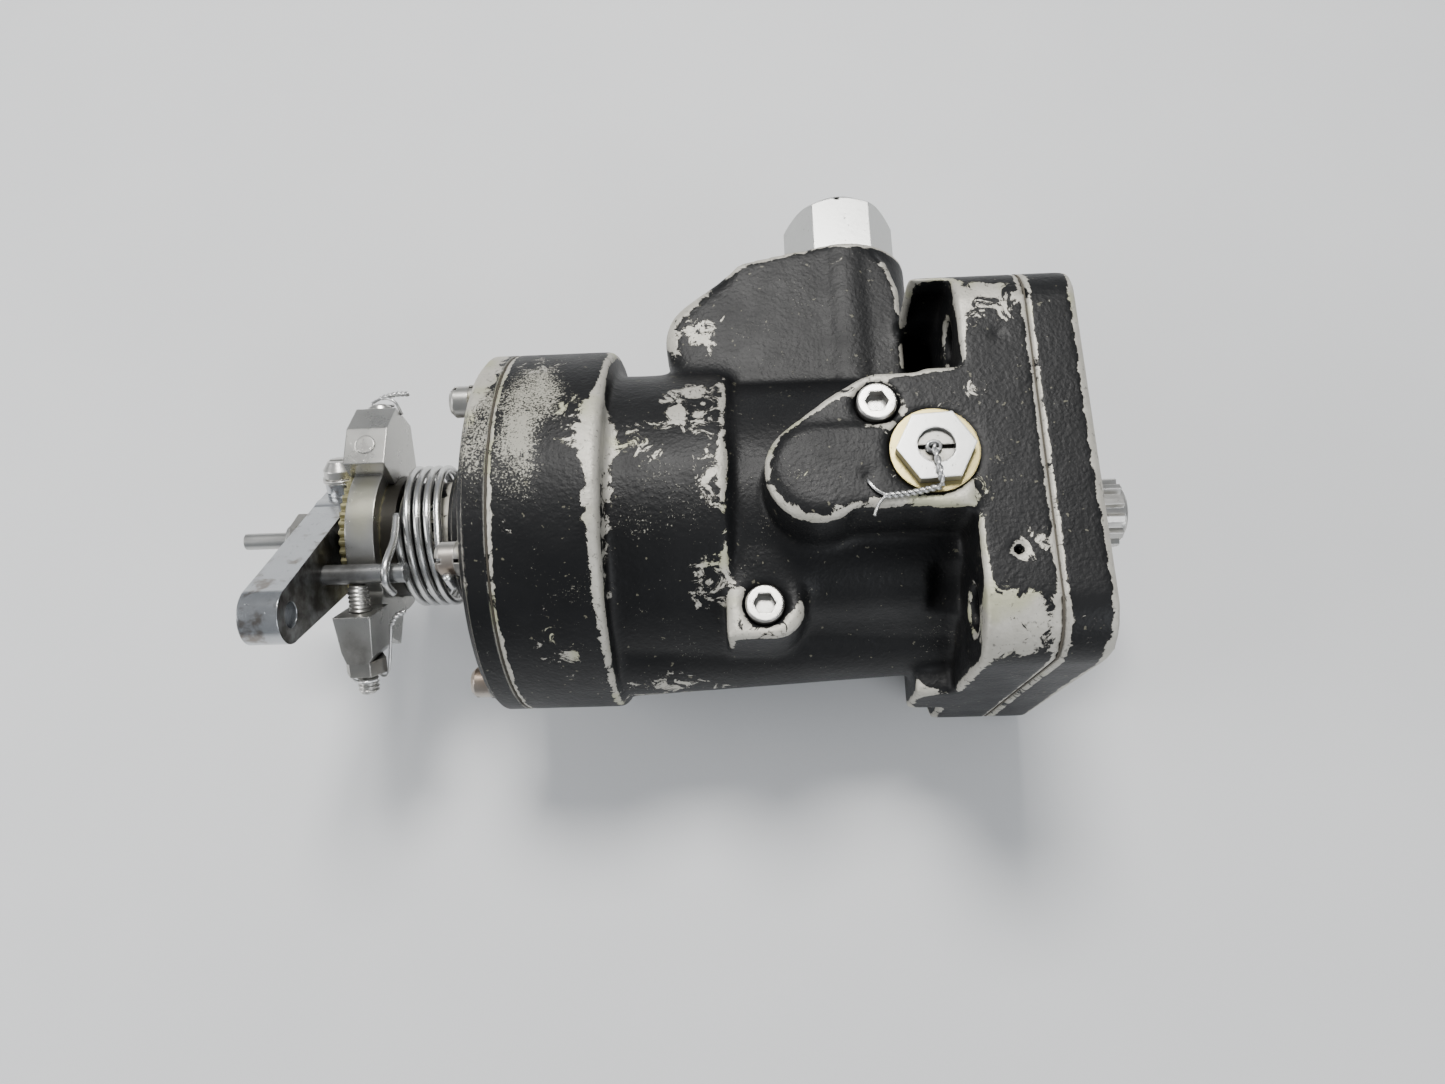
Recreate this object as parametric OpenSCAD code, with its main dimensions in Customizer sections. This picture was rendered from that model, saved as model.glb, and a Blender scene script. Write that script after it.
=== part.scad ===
// Propeller governor, flyweight type, lying on the flat back of its flange.
// X is the drive axis and points out of the mounting face, Z is up.
// The origin is the middle of the mounting face.

/* [Flange and base] */
// Half of the flange width across the drive axis
flange_half = 36.3; // [36:0.1:37]
// Height of the flat front face above the drive axis
front_face = 39.2; // [38.8:0.1:39.6]
// Depth of the flange back below the drive axis
back_face = 36.8; // [36.4:0.1:37.2]
// Corner radius of the flange
flange_corner = 10.8; // [10:0.1:11.4]
// Thickness of the base plate
base_thick = 8.8; // [8.6:0.1:9]
// Distance from the mounting face to the stud nut seats
stud_seat = 21; // [20.5:0.1:21.5]
// Distance from the mounting face to the body side of the flange
flange_depth = 28; // [27.6:0.1:28.4]
// Half of the stud spacing
stud_half = 25.8; // [25.6:0.1:26]
// Radius of a stud hole
stud_hole_r = 4.15; // [4.05:0.05:4.25]

/* [Body and cover] */
// Radius of the large cylinder and of the cover
drum_r = 36; // [35.8:0.1:36.3]
// Distance from the mounting face to the near edge of the large cylinder
drum_start = 84.1; // [83.8:0.1:84.4]
// Distance from the mounting face to the end of the body
body_end = 103.6; // [103.4:0.1:103.8]
// Thickness of the cover flange
cover_thick = 5; // [4.8:0.1:5.2]
// Radius of the body neck
neck_r = 31; // [30.7:0.1:31.3]
// Radius of the flyweight chamber
chamber_r = 25; // [24.8:0.1:25.2]
// Number of cover screws
cover_screw_count = 6; // [3:1:6]
// Radius of the circle through the cover screws
cover_screw_circle = 31.4; // [31.2:0.1:31.6]

/* [Drive and pump] */
// Outside radius of the drive spline
spline_r = 6.95; // [6.8:0.05:7.1]
// Number of spline teeth
spline_teeth = 12; // [10:1:14]
// Length of the spline past the mounting face
spline_len = 16; // [15:0.5:17]
// Number of teeth on each pump gear
gear_teeth = 14; // [12:2:16]
// Distance between the two pump gears
gear_centres = 20; // [20:0.1:20.2]

/* [Control lever] */
// Distance from the control shaft to the rod hole
lever_reach = 34.8; // [33:0.1:36]
// Angle of the lever from straight up, towards the viewer
lever_lean = 41.7; // [41:0.1:42.4]
// Thickness of the lever
lever_thick = 7.2; // [6.8:0.1:7.4]
// Radius of the rod hole
rod_hole_r = 2.4; // [2.2:0.05:2.6]
// Turns of the lever spring
lever_spring_turns = 4; // [3:1:4]

/* [Hidden] */
$fn = 64;
slip = 0.04;             // radial clearance of a running fit
gasket = 0.3;
body_start = base_thick + gasket;
cover_in = body_end + gasket;
cover_out = cover_in + cover_thick;
boss_end = 117;          // end of the cover's neck boss
snout_end = 138.3;       // end of the cover's snout
bore_r = 27.5;           // inside of the large cylinder
bushing_r = 9;           // outside of the body bushing
gear_r = gear_centres / 2;
gear_tip = 1.15;
gear_root = 1.6;
gear_back = body_start + 8.5;
shaft_r = 6.8;
journal_r = 6.4;
pilot_r = 3.2;
chamber_end = 46;        // drive end of the flyweight chamber
head_face = 46.4;        // drive side of the flyweight carrier
head_back = 50.4;
pin_x = 54;              // flyweight pins
pin_y = 12.5;
relief_x = 27.1;         // relief valve axis
relief_y = -1.9;
relief_hex_top = 41.9;
pad_rise = 0.8;          // raised oval pad around the relief valve
head_sink = 2.7;         // depth that the socket screw heads are let in
plug_x = 37.5;           // side plug axis
plug_z = 3;
plug_face = 55.5;
seat_x = 84;             // spring face of the upper spring seat
low_seat_x = 63;         // spring face of the lower spring seat
lever_back = 140;        // body side of the lever
lever_front = lever_back + lever_thick;
lever_middle = lever_back + lever_thick / 2;
clamp_drop = 5.2;        // clamp screw axis beyond the control shaft
clamp_seat = 11.2;       // seat of the clamp screw, from the middle of the lever
post_r = 1.9;
post_y = -lever_reach * 0.53 * sin(lever_lean);
post_z = lever_reach * 0.53 * cos(lever_lean) + 0.4;
nut_end = 26.5;          // far end of the room cut for a stud nut
stop_x = 134;            // middle plane of the stop arm
stop_w = 8.2;
low_stop_tilt = 30;      // slope of the low stop screw, down from the spring post
high_stop_z = 9.4;
shell_black = "#26282b";

// ---------- shapes used by several pieces ----------

// Rod along X. Places along X are given as distances from the mounting face
// towards the control lever, so "from" is the end nearer the mounting face.
module rod(from, to, r, y = 0, z = 0, r_end = -1)
    translate([-from, y, z])
        rotate([0, -90, 0])
            cylinder(h = to - from, r1 = r, r2 = r_end < 0 ? r : r_end);

module ring(from, to, outer, inner, y = 0, z = 0)
    difference() {
        rod(from, to, outer, y, z);
        rod(from - 1, to + 1, inner, y, z);
    }

// Rods along Y and along Z, from a low place to a high one
module rod_y(x, z, low, high, r, r_high = -1)
    translate([-x, low, z])
        rotate([-90, 0, 0])
            cylinder(h = high - low, r1 = r, r2 = r_high < 0 ? r : r_high);

module rod_z(x, y, low, high, r)
    translate([-x, y, low])
        cylinder(h = high - low, r = r);

// Block given by its two corners
module block(x1, x2, y1, y2, z1, z2)
    translate([-x2, y1, z1])
        cube([x2 - x1, y2 - y1, z2 - z1]);

// Outline with evenly spaced straight-sided teeth
module toothed(teeth, tip_r, root_r, tip_share, root_share)
    polygon([for (i = [0 : teeth - 1], corner = [0 : 3])
        let (half = (corner == 0 || corner == 3 ? root_share : tip_share) * 180 / teeth,
             side = corner < 2 ? -1 : 1,
             a = i * 360 / teeth + side * half,
             r = corner == 0 || corner == 3 ? root_r : tip_r)
        [r * cos(a), r * sin(a)]]);

module toothed_rod(from, to, teeth, tip_r, root_r, tip_share, root_share, turn = 0)
    translate([-from, 0, 0])
        rotate([0, -90, 0])
            rotate([0, 0, turn])
                linear_extrude(to - from)
                    toothed(teeth, tip_r, root_r, tip_share, root_share);

// Hexagonal prism along X, width given across the flats
module hex_x(from, to, flats, turn = 0)
    translate([-from, 0, 0])
        rotate([0, -90, 0])
            rotate([0, 0, turn])
                cylinder(h = to - from, r = flats / sqrt(3), $fn = 6);

module hex_z(x, y, low, high, flats, turn = 0)
    translate([-x, y, low])
        rotate([0, 0, turn])
            cylinder(h = high - low, r = flats / sqrt(3), $fn = 6);

// Round wire along a list of points; "side" is a direction the wire never runs in
function unit(v) = v / norm(v);
function wire_ring(path, i, r, sides, side) =
    let (before = path[max(i - 1, 0)],
         after = path[min(i + 1, len(path) - 1)],
         along = unit(after - before),
         across = unit(cross(along, side)),
         up = cross(across, along))
    [for (k = [0 : sides - 1])
        path[i] + r * (cos(k * 360 / sides) * across + sin(k * 360 / sides) * up)];

module wire(path, r, sides, side) {
    count = len(path);
    points = [for (i = [0 : count - 1]) each wire_ring(path, i, r, sides, side)];
    walls = [for (i = [0 : count - 2], k = [0 : sides - 1])
        let (next = (k + 1) % sides, a = i * sides, b = a + sides)
        each [[a + k, b + next, b + k], [a + k, a + next, b + next]]];
    start = [[for (k = [0 : sides - 1]) sides - 1 - k]];
    finish = [[for (k = [0 : sides - 1]) (count - 1) * sides + k]];
    polyhedron(points, concat(walls, start, finish));
}

// Points of a coil around X, whose +Y side leans towards the control lever
function coil_x(from, to, r, turns, steps, start_turn, lean = 0) =
    [for (i = [0 : turns * steps])
        let (a = start_turn + i * 360 / steps)
        [-(from + (to - from) * i / (turns * steps)) - lean * r * (1 - sin(a)),
            -r * sin(a), r * cos(a)]];

// ---------- housing ----------

// Rounded square of the flange, between two distances from the mounting face
module flange_slab(from, to) {
    y = flange_half - flange_corner;
    block(from, to, -y, y, -back_face, front_face);
    block(from, to, -flange_half, flange_half, flange_corner - back_face, front_face - flange_corner);
    for (side = [-1, 1]) {
        rod(from, to, flange_corner, side * y, front_face - flange_corner);
        rod(from, to, flange_corner, side * y, flange_corner - back_face);
    }
}

module at_studs()
    for (y = [-stud_half, stud_half], z = [-stud_half, stud_half])
        translate([0, y, z])
            children();

module at_base_screws()
    for (side = [-13, 13], z = [-31, 33])
        translate([0, side, z])
            children();

module at_cover_screws()
    for (i = [0 : cover_screw_count - 1])
        rotate([57 + i * 360 / cover_screw_count, 0, 0])
            translate([0, cover_screw_circle, 0])
                children();

// Teardrop boss on the front, seen from above
module boss_outline() {
    translate([-46.3, -4.2])
        circle(9.3);
    polygon([[-flange_depth + 1, -11], [-flange_depth + 1, 13.2], [-36.5, 13.2], [-39, 12.2],
        [-44, 9.2], [-51.6, 3.4], [-46, -6], [-38.5, -11]]);
}

module lobe_outline() {
    translate([-64.9, 35.2])
        circle(10);
    polygon([[-flange_depth + 1, 5], [-flange_depth + 1, 44], [-29, 50.5], [-33, 54],
        [-47, 54.6], [-59, 52], [-70.9, 43.2], [-64.9, 25.2], [-58, 5]]);
}

module body_outside() {
    // Machined large cylinder and cast neck
    rod(drum_start + 0.8, body_end, drum_r);
    rod(drum_start, drum_start + 0.8, drum_r - 0.8, r_end = drum_r);
    rod(62.6, drum_start + 1, neck_r);
    rod(61.4, 62.6, neck_r - 1.6, r_end = neck_r);
    rod(stud_seat - 1, 61.4, chamber_r + 3.6);
    flange_slab(body_start, stud_seat);
    difference() {
        flange_slab(stud_seat, flange_depth);
        nut_pockets();
    }
    // Passage swellings along the lower side and the back
    rod(stud_seat - 1, drum_start + 1, 12.4, -18.9, 0, r_end = 15.6);
    rod(stud_seat - 1, 60, 11.5, -12.8, 14);
    rod(stud_seat - 1, 70, 12, 13, -18);
    // Relief valve boss with its raised oval pad
    translate([0, 0, 8])
        linear_extrude(front_face - 8)
            boss_outline();
    rod_z(46.3, -4.2, 8, front_face + pad_rise, 7.4);
    block(stud_seat + 0.4, 46.3, -11.6, 3.2, 10, front_face + pad_rise);
    // Lower ear
    rod_z(54.8, -23.4, 2, 24.4, 6);
    block(54.8, 63, -29.4, -17.4, 2, 24.4);
    // Side plug lobe
    translate([0, 0, -12])
        linear_extrude(28)
            lobe_outline();
    rod_y(plug_x, plug_z, 10, plug_face, 13.6);
}

module nut_pockets() {
    // Front pockets: the upper one keeps an outer wall, the lower one is open
    block(stud_seat, flange_depth + 1, 14, 33.4, 3, front_face + 1);
    block(stud_seat, flange_depth + 1, -flange_half - 1, -12, 3, front_face + 1);
    // Back pockets
    for (side = [-1, 1])
        block(stud_seat, flange_depth + 1, side > 0 ? 14 : -flange_half - 1,
            side > 0 ? flange_half + 1 : -14, -back_face - 1, -14);
}

module casting() {
    difference() {
        body_outside();
        // Main bore, flyweight chamber and bushing bore
        rod(drum_start, body_end + 1, bore_r);
        rod(chamber_end, drum_start + 1, chamber_r);
        rod(body_start - 1, chamber_end + 1, bushing_r + 0.02);
        // Pump chamber
        rod(body_start - 1, gear_back, gear_r + gear_tip + 0.25);
        rod(body_start - 1, gear_back, gear_r + gear_tip + 0.25, 0, -gear_centres);
        block(body_start - 1, gear_back - 3, -15, 15, -14, -6);
        rod(body_start - 1, gear_back + 5, 3.02, 0, -gear_centres);
        // Stud holes with their nut seats, and base screw holes
        at_studs() {
            rod(body_start - 1, stud_seat + 1, stud_hole_r);
            rod(stud_seat - 0.4, nut_end, 9.3);
        }
        at_base_screws()
            rod(body_start - 1, 19.5, 2.45);
        at_cover_screws()
            rod(body_end - 13, body_end + 1, 1.75);
        // Relief valve cavity
        rod_z(relief_x, relief_y, 38.2, front_face + 2, 7.7);
        rod_z(relief_x, relief_y, 24, 40, 5.6);
        rod_z(relief_x, relief_y, 13, 25, 4.1);
        rod_z(relief_x, relief_y, 5, 14, 2);
        // Side plug cavity and its passage
        rod_y(plug_x, plug_z, 44, plug_face + 1, 8.6);
        rod_y(plug_x, plug_z, 32, 45, 6);
        rod_y(plug_x, plug_z, 5, 33, 2.5);
        // Passage screw holes, locking wire hole and oil holes
        rod_z(36.1, 7.4, 23, front_face + 1, 2.12);
        rod_z(36.1, 7.4, front_face - head_sink, front_face + 1, 3.75);
        rod_z(56.2, -23.4, 9, 25.4, 2.12);
        rod_z(56.2, -23.4, 24.4 - head_sink, 25.4, 3.75);
        rod_z(38.5, -6.1, front_face - 4, front_face + 1, 0.8);
        rod_z(14.5, 19.8, front_face - 9, front_face + 1, 0.85);
        rod_z(15, -19.4, front_face - 9, front_face + 1, 0.85);
        // Passage that meets the third oil port
        rod(body_start - 1, 18, 3, -20, 8);
    }
}

// The casting is one piece. It is given as three lengths that touch, so that
// each keeps the nut pockets open.
module casting_length(from, to) color(shell_black)
    intersection() {
        casting();
        block(from, to, -100, 100, -100, 100);
    }

module casting_flange() casting_length(body_start, stud_seat);

module casting_webs() casting_length(stud_seat, flange_depth);

module casting_barrel() casting_length(flange_depth, body_end);

module base_plate() color(shell_black)
    difference() {
        union() {
            flange_slab(0.8, base_thick);
            intersection() {
                flange_slab(0, 0.8);
                block(0, 0.8, 0.8 - flange_half, flange_half - 0.8, 0.8 - back_face, front_face - 0.8);
            }
        }
        at_studs()
            rod(-1, base_thick + 1, stud_hole_r);
        at_base_screws() {
            rod(-1, base_thick + 1, 2.45);
            rod(-1, 5.4, 4.1);
        }
        rod(-1, base_thick + 1, 8.02);
        // Oil ports that meet the engine's passages
        for (side = [-1, 1])
            rod(-1, base_thick + 1, 3, side * 13, -gear_centres / 2);
        rod(-1, base_thick + 1, 3, -20, 8);
    }

module cover() color("#7d7c70")
    difference() {
        union() {
            rod(cover_in, cover_out - 1, drum_r);
            rod(cover_out - 1, cover_out, drum_r, r_end = drum_r - 1);
            rod(cover_out - 0.5, boss_end - 1, 15.5);
            rod(boss_end - 1, boss_end, 15.5, r_end = 14.5);
            rod(boss_end - 0.5, 128, 11);
            rod(127.5, snout_end, 9.4);
        }
        rod(cover_in - 1, snout_end + 1, 7.52);
        rod(cover_in - 1, cover_in + 2.2, 12);
        at_cover_screws()
            rod(cover_in - 1, cover_out + 1, 2.25);
        rod(cover_in - 1, cover_in + 3.5, 1.52, 0, -13.5);
    }

module cover_gasket() color("#3a3528")
    difference() {
        ring(body_end, cover_in, drum_r - 0.3, bore_r);
        at_cover_screws()
            rod(body_end - 1, cover_in + 1, 2.4);
    }

module base_gasket() color("#3a3528")
    difference() {
        intersection() {
            flange_slab(base_thick, body_start);
            block(base_thick, body_start, 0.3 - flange_half, flange_half - 0.3,
                0.3 - back_face, front_face - 0.3);
        }
        at_studs()
            rod(0, body_start + 1, stud_hole_r + 0.3);
        at_base_screws()
            rod(0, body_start + 1, 2.7);
        rod(0, body_start + 1, gear_r + gear_tip + 0.4);
        rod(0, body_start + 1, gear_r + gear_tip + 0.4, 0, -gear_centres);
        for (side = [-1, 1])
            rod(0, body_start + 1, 3.2, side * 13, -gear_centres / 2);
        rod(0, body_start + 1, 3.2, -20, 8);
    }

// ---------- fasteners ----------

module cover_screws() color("#9a948a")
    at_cover_screws()
        difference() {
            union() {
                rod(body_end - 11, cover_out + 1.3, 1.7);
                rod(cover_out + 1.15, cover_out + 4, 2.95);
                rod(cover_out + 4, cover_out + 4.8, 2.95, r_end = 2.2);
            }
            block(cover_out + 3.4, cover_out + 5, -4, 4, -0.45, 0.45);
        }

module cover_lock_washers() color("#85827a")
    at_cover_screws()
        difference() {
            ring(cover_out + 0.03, cover_out + 1.12, 3.15, 1.85);
            block(cover_out - 1, cover_out + 2, 0, 4, -0.35, 0.35);
        }

module base_screws() color("#6c6c6c")
    at_base_screws()
        difference() {
            union() {
                rod(0.6, 5.35, 3.95);
                rod(5.3, 18.5, 2.35);
            }
            hex_x(0, 3.2, 3.97);
        }

module socket_screw(x, y, face, depth)
    translate([-x, y, face])
        difference() {
            union() {
                translate([0, 0, 0.04])
                    cylinder(h = 3.1, r = 3.43);
                translate([0, 0, 3.14])
                    cylinder(h = 0.4, r1 = 3.43, r2 = 3.1);
                translate([0, 0, -depth])
                    cylinder(h = depth + 0.1, r = 2.06);
            }
            translate([0, 0, 1.4])
                cylinder(h = 4, r = 3.57 / sqrt(3), $fn = 6);
        }

module passage_screws() color("#b9b7ae") {
    socket_screw(36.1, 7.4, front_face - head_sink, 12);
    socket_screw(56.2, -23.4, 24.4 - head_sink, 11);
}

// ---------- relief valve and side plug ----------

module relief_plug() color("#c9c8c0")
    difference() {
        union() {
            hex_z(relief_x, relief_y, 39.95, relief_hex_top, 11.6, 3);
            rod_z(relief_x, relief_y, 26.5, 40.4, 5.5);
        }
        rod_z(relief_x, relief_y, 25, 46, 3.15);
    }

module relief_plug_washer() color("#b59a3c")
    difference() {
        rod_z(relief_x, relief_y, 38.25, 39.9, 7.5);
        rod_z(relief_x, relief_y, 38, 40.5, 5.65);
    }

module relief_adjuster() color("#9c9b94")
    difference() {
        rod_z(relief_x, relief_y, 35.5, relief_hex_top - 0.9, 3.1);
        block(relief_x - 4, relief_x + 4, relief_y - 0.4, relief_y + 0.4, relief_hex_top - 2,
            relief_hex_top);
    }

module relief_plunger() color("#a9a9a4") {
    rod_z(relief_x, relief_y, 14.05, 20, 4.05);
    rod_z(relief_x, relief_y, 19.9, 27, 1.6);
}

module relief_spring() color("#8f8f8c")
    translate([-relief_x, relief_y, 20.6])
        wire([for (i = [0 : 84])
                let (a = i * 30)
                [2.45 * cos(a), 2.45 * sin(a), 14.2 * i / 84]], 0.5, 6, [0, 0, 1]);

module side_plug() color("#cfcfc8")
    difference() {
        union() {
            intersection() {
                translate([-plug_x, plug_face + 0.05, plug_z])
                    rotate([-90, 0, 0])
                        cylinder(h = 15.5, r = 20.6 / sqrt(3), $fn = 6);
                union() {
                    rod_y(plug_x, plug_z, plug_face, plug_face + 11.2, 12.6);
                    rod_y(plug_x, plug_z, plug_face + 11.2, plug_face + 15.6, 12.6, 7.6);
                }
            }
            rod_y(plug_x, plug_z, 46, plug_face + 0.1, 8.5);
        }
        rod_y(plug_x, plug_z, 45, plug_face + 8, 4.2);
        // Groove for the seal and the locking wire hole
        difference() {
            rod_y(plug_x, plug_z, plug_face - 3, plug_face - 0.8, 9);
            rod_y(plug_x, plug_z, plug_face - 4, plug_face, 6.9);
        }
        translate([-plug_x - 0.6, plug_face + 13.6, plug_z + 5])
            cylinder(h = 8, r = 0.8);
    }

module side_plug_seal() color("#1b1b1b")
    translate([-plug_x, plug_face - 1.9, plug_z])
        rotate([-90, 0, 0])
            rotate_extrude()
                translate([7.7, 0])
                    circle(0.75);

module check_ball() color("#d8d8d6")
    translate([-plug_x, 36.3, plug_z])
        sphere(4.2);

module check_spring() color("#8f8f8c")
    translate([-plug_x, 0, plug_z])
        wire([for (i = [0 : 72])
                let (a = i * 30)
                [3.3 * cos(a), 41.2 + 20.6 * i / 72, 3.3 * sin(a)]], 0.55, 6, [0, 1, 0]);

// ---------- drive, pump and flyweights ----------

module base_bushing() color("#b08d57")
    ring(0.8, base_thick - 0.2, 8, journal_r + slip);

module body_bushing() color("#b08d57")
    ring(gear_back + 0.3, chamber_end - 0.2, bushing_r, shaft_r + slip);

module idler_post() color("#8d8d8a")
    rod(body_start + 0.4, gear_back + 4.6, 3, 0, -gear_centres);

module drive_shaft() color("#a7a7a3")
    difference() {
        union() {
            toothed_rod(1.2 - spline_len, -1.5, spline_teeth, spline_r, spline_r - 1.25, 0.36, 0.62);
            rod(-spline_len, 1.4 - spline_len, spline_r - 2.2, r_end = spline_r - 1.25);
            rod(0.6 - spline_len, 1.4 - spline_len, spline_r - 1.25);
            rod(-1.6, gear_back, journal_r);
            rod(gear_back, head_face, shaft_r);
            rod(head_face, head_back, 6);
        }
        rod(5, head_back + 1, pilot_r + slip);
        // Cross ports to the pilot valve
        for (place = [24, 33])
            rod_z(place, 0, -9, 9, 1);
    }

module gear_ring(turn)
    toothed_rod(body_start + 0.25, gear_back - 0.2, gear_teeth, gear_r + gear_tip,
        gear_r - gear_root, 0.26, 0.66, turn);

module drive_gear() color("#8e8e8b")
    difference() {
        gear_ring(0);
        rod(0, gear_back + 1, journal_r + 0.02);
    }

module idler_gear() color("#8e8e8b")
    translate([0, 0, -gear_centres])
        difference() {
            gear_ring(180 / gear_teeth);
            rod(0, gear_back + 1, 3 + slip);
        }

module flyweight_carrier() color("#7f807d")
    difference() {
        union() {
            rod(head_face, head_back, 15);
            for (side = [-1, 1], lug = [-1, 1])
                block(head_back - 0.5, pin_x + 3.2, side * pin_y - 3.2, side * pin_y + 3.2,
                    lug > 0 ? 6.3 : -9, lug > 0 ? 9 : -6.3);
        }
        rod(head_face - 1, head_back + 1, 6.02);
        for (side = [-1, 1])
            rod_z(pin_x, side * pin_y, -10, 10, 1.52);
    }

module flyweight_pins() color("#c2c2bd")
    for (side = [-1, 1])
        rod_z(pin_x, side * pin_y, -9.4, 9.4, 1.5);

// L-shaped flyweight on the +Y side
module flyweight()
    difference() {
        union() {
            rod_z(pin_x, pin_y, -6, 6, 3);
            block(pin_x, 74, 12.2, 18.6, -6, 6);
            block(pin_x - 1, 57.3, 6.4, pin_y, -3, 3);
        }
        rod_z(pin_x, pin_y, -7, 7, 1.5 + slip);
    }

module flyweight_1() color("#6d6f70")
    flyweight();

module flyweight_2() color("#6d6f70")
    mirror([0, 1, 0])
        flyweight();

// ---------- pilot valve and speeder spring ----------

module pilot_valve() color("#bdbdb8")
    difference() {
        rod(8, 65.5, pilot_r);
        for (place = [18, 27])
            ring(place, place + 3.5, 4, 2.3);
    }

module thrust_bearing() color("#c7c7c2")
    ring(57.6, 60.6, 8.6, pilot_r + 0.02);

module lower_spring_seat() color("#8b8b86")
    difference() {
        union() {
            rod(60.7, low_seat_x, 9);
            rod(low_seat_x - 0.1, 65.4, 4.9);
        }
        rod(60, 66, pilot_r + 0.02);
    }

module speeder_spring() color("#90908c")
    wire(coil_x(low_seat_x + 1.1, seat_x - 1.1, 6.6, 6, 16, 0), 1, 6, [1, 0, 0]);

module upper_spring_seat() color("#8b8b86")
    difference() {
        union() {
            rod(seat_x, seat_x + 2.8, 9.2);
            rod(seat_x + 2.7, seat_x + 11.5, 7.4);
            block(seat_x, seat_x + 2.8, -3.2, 3.2, -16.5, -6);
        }
        rod(seat_x - 1, seat_x + 12, 4.45);
        rod(seat_x - 1, seat_x + 4, 1.6, 0, -13.5);
    }

module seat_guide_pin() color("#c2c2bd")
    rod(seat_x - 2, cover_in + 3.3, 1.5, 0, -13.5);

// ---------- control shaft, lever and stops ----------

module control_shaft() color("#b4b4ae") {
    rod(88, cover_in - 1.8, 4.4);
    rod(cover_in - 1.9, cover_in + 1.9, 7);
    rod(cover_in + 1.8, lever_back - 0.3, 4.8);
    rod(lever_back - 0.4, lever_front + 0.3, 3.6);
    rod(lever_front, 154.5, 3.1);
    rod(154.4, 164, 1.7);
}

module control_bushing() color("#b08d57")
    ring(cover_in + 2.3, 135.4, 7.5, 4.8 + slip);

module control_seal() color("#1b1b1b")
    translate([-136.9, 0, 0])
        rotate([0, 90, 0])
            rotate_extrude()
                translate([6.16, 0])
                    circle(1.3);

module serrated_collar() color("#a39a6c")
    difference() {
        union() {
            rod(128.2, 137, 12.4);
            toothed_rod(137, 138.4, 48, 14.7, 14, 0.3, 0.9);
        }
        rod(127, 140, 9.45);
    }

// Frame of the low stop screw: it starts at the spring post and runs along -Y
module along_low_stop()
    translate([-stop_x, post_y, post_z])
        rotate([low_stop_tilt, 0, 0])
            children();

module stop_arm() color("#9b9a92")
    difference() {
        union() {
            rod(131.3, 136.9, 15.4);
            // High stop lug, with a chamfer on its top front edge
            translate([-stop_x - stop_w / 2, 0, 0])
                rotate([90, 0, 90])
                    linear_extrude(stop_w)
                        polygon([[6, 2], [9.8, 16.2], [17.3, 16.2], [23.4, 12.6], [23.4, 4],
                            [14, -3]]);
            // Low stop lug on a web that passes under the spring post
            along_low_stop()
                translate([0, 0, -4.8])
                    linear_extrude(9.6)
                        polygon([[-3.6, -7.3], [3.6, -7.3], [3.3, -15.2], [2.4, -16.5],
                            [-1.8, -16.5], [-2.6, -14.2]]);
            block(131.3, 136.9, -21.5, -10, -5, 7);
        }
        rod(125, 145, 12.45);
        rod(136.95, 145, 15);
        along_low_stop()
            rod_y(0, 0, -28, 1, 2.1);
        rod_y(stop_x, high_stop_z, 3, 30, 2.1);
        rod_z(stop_x, 13.8, 14.85, 17, 1.9);
    }

module high_stop_screw() color("#b5b3aa")
    difference() {
        union() {
            rod_y(stop_x, high_stop_z, 10.5, 23.6, 2.06);
            rod_y(stop_x, high_stop_z, 23.45, 24.3, 2.9);
            rod_y(stop_x, high_stop_z, 24.3, 25.1, 2.9, 2);
        }
        block(stop_x - 4, stop_x + 4, 24.6, 26, high_stop_z - 0.4, high_stop_z + 0.4);
    }

module low_stop_screw() color("#a8a59a")
    along_low_stop() {
        rod_y(0, 0, -20.7, -post_r - 0.15, 2.06);
        rod_y(0, 0, -23.7, -20.3, 2.8);
    }

module stop_jam_nut() color("#8f8c80")
    along_low_stop()
        difference() {
            translate([0, -19.6, 0])
                rotate([-90, 0, 0])
                    cylinder(h = 3, r = 7 / sqrt(3), $fn = 6);
            rod_y(0, 0, -21, -16, 2.1);
        }

module stop_arm_pin() color("#b0aea4")
    rod_z(stop_x, 13.8, 14.9, 16.3, 1.85);

// Lever outline around the control shaft, looking along X, pointing straight up
module lever_outline()
    difference() {
        union() {
            circle(8.6);
            translate([0, lever_reach])
                circle(5.2);
            polygon([[-8.2, 2.6], [-5.1, lever_reach + 0.9], [5.1, lever_reach + 0.9], [8.2, 2.6],
                [8.8, -clamp_drop], [8.2, -9.2], [-4, -9.2], [-8, -3]]);
        }
        circle(3.62);
        translate([0, lever_reach])
            circle(rod_hole_r);
    }

// Rod across the lever along the clamp screw's axis, from one distance off the middle to another
module across_lever(low, high, r, r_high = -1)
    rotate([lever_lean, 0, 0])
        rod_y(lever_middle, -clamp_drop, low, high, r, r_high);

module control_lever() color("#a9b0b4")
    difference() {
        union() {
            translate([-lever_front, 0, 0])
                rotate([90, 0, 90])
                    linear_extrude(lever_thick)
                        rotate([0, 0, lever_lean])
                            lever_outline();
            // Boss of the clamp screw
            across_lever(2, clamp_seat, 3.4);
        }
        across_lever(-12, clamp_seat + 1, 1.55);
        rod(lever_back - 1, lever_front + 1, 3.62);
        rod(139, 150, post_r + 0.01, post_y, post_z);
        // Clamp slit
        rotate([lever_lean, 0, 0])
            block(139, 150, -0.5, 0.5, -12, -3);
    }

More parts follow.
